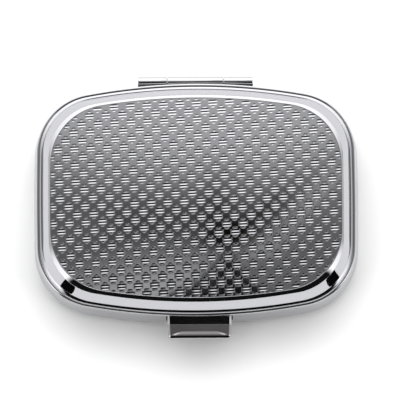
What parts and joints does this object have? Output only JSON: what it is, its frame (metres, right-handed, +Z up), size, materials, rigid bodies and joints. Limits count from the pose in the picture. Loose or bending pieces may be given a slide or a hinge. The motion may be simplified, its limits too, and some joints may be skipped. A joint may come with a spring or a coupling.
{
  "type": "pill box",
  "caption": "Pocket pill box: an embossed polished steel lid hinged at the back, a push catch at the front, and a divided plastic tray inside.",
  "frame": {"origin": "centre of the flat bottom that the box rests on, at the bottom of its bounding box", "axes": "+Z up, +X along the box's length to the right, -Y towards the front catch"},
  "size_m": [0.0538, 0.0436, 0.0137],
  "materials": {
    "lid_steel": "pressed steel sheet, bright nickel-chrome plate over an embossed lozenge pattern",
    "base_steel": "drawn steel pan, bright nickel-chrome plate",
    "rim_steel": "rolled steel strip, bright nickel-chrome plate",
    "hinge_steel": "rolled steel knuckles and drawn pin, bright plate",
    "catch_steel": "stamped and bent steel strip, plated and slightly darkened by handling",
    "spring_steel": "bare rolled spring steel strip",
    "rivet_steel": "cold-headed steel rivet",
    "tray_plastic": "injection-moulded white polypropylene, fine satin",
    "mirror_glass": "float glass silvered on its back, ground edge",
    "foam_tape": "white closed-cell foam tape, adhesive on both sides"
  },
  "bodies": {
    "base": {"base_cover": "base_steel", "base_frame": "rim_steel", "base_hinge_leaf": "hinge_steel", "hinge_pin": "hinge_steel", "catch_bracket": "spring_steel", "catch_spring": "spring_steel", "bracket_rivet_left": "rivet_steel", "bracket_rivet_right": "rivet_steel", "pill_tray": "tray_plastic"},
    "lid": {"lid_cover": "lid_steel", "lid_frame": "rim_steel", "lid_hinge_leaf": "hinge_steel", "lid_keeper": "catch_steel", "lid_mirror": "mirror_glass", "mirror_pad": "foam_tape"},
    "catch": {"push_catch": "catch_steel"}
  },
  "joints": [
    {"name": "lid_hinge", "type": "hinge", "parent": "base", "child": "lid", "pos_m": [0, 0.01991, 0.009], "axis": [-1, 0, 0], "range_deg": [0, 105]},
    {"name": "catch_press", "type": "slide", "parent": "base", "child": "catch", "axis": [0, 1, 0], "range_m": [0, 0.0008], "stiffness_N_per_m": 1500, "springref_m": -0.0007, "deforming": ["catch_spring"]}
  ]
}
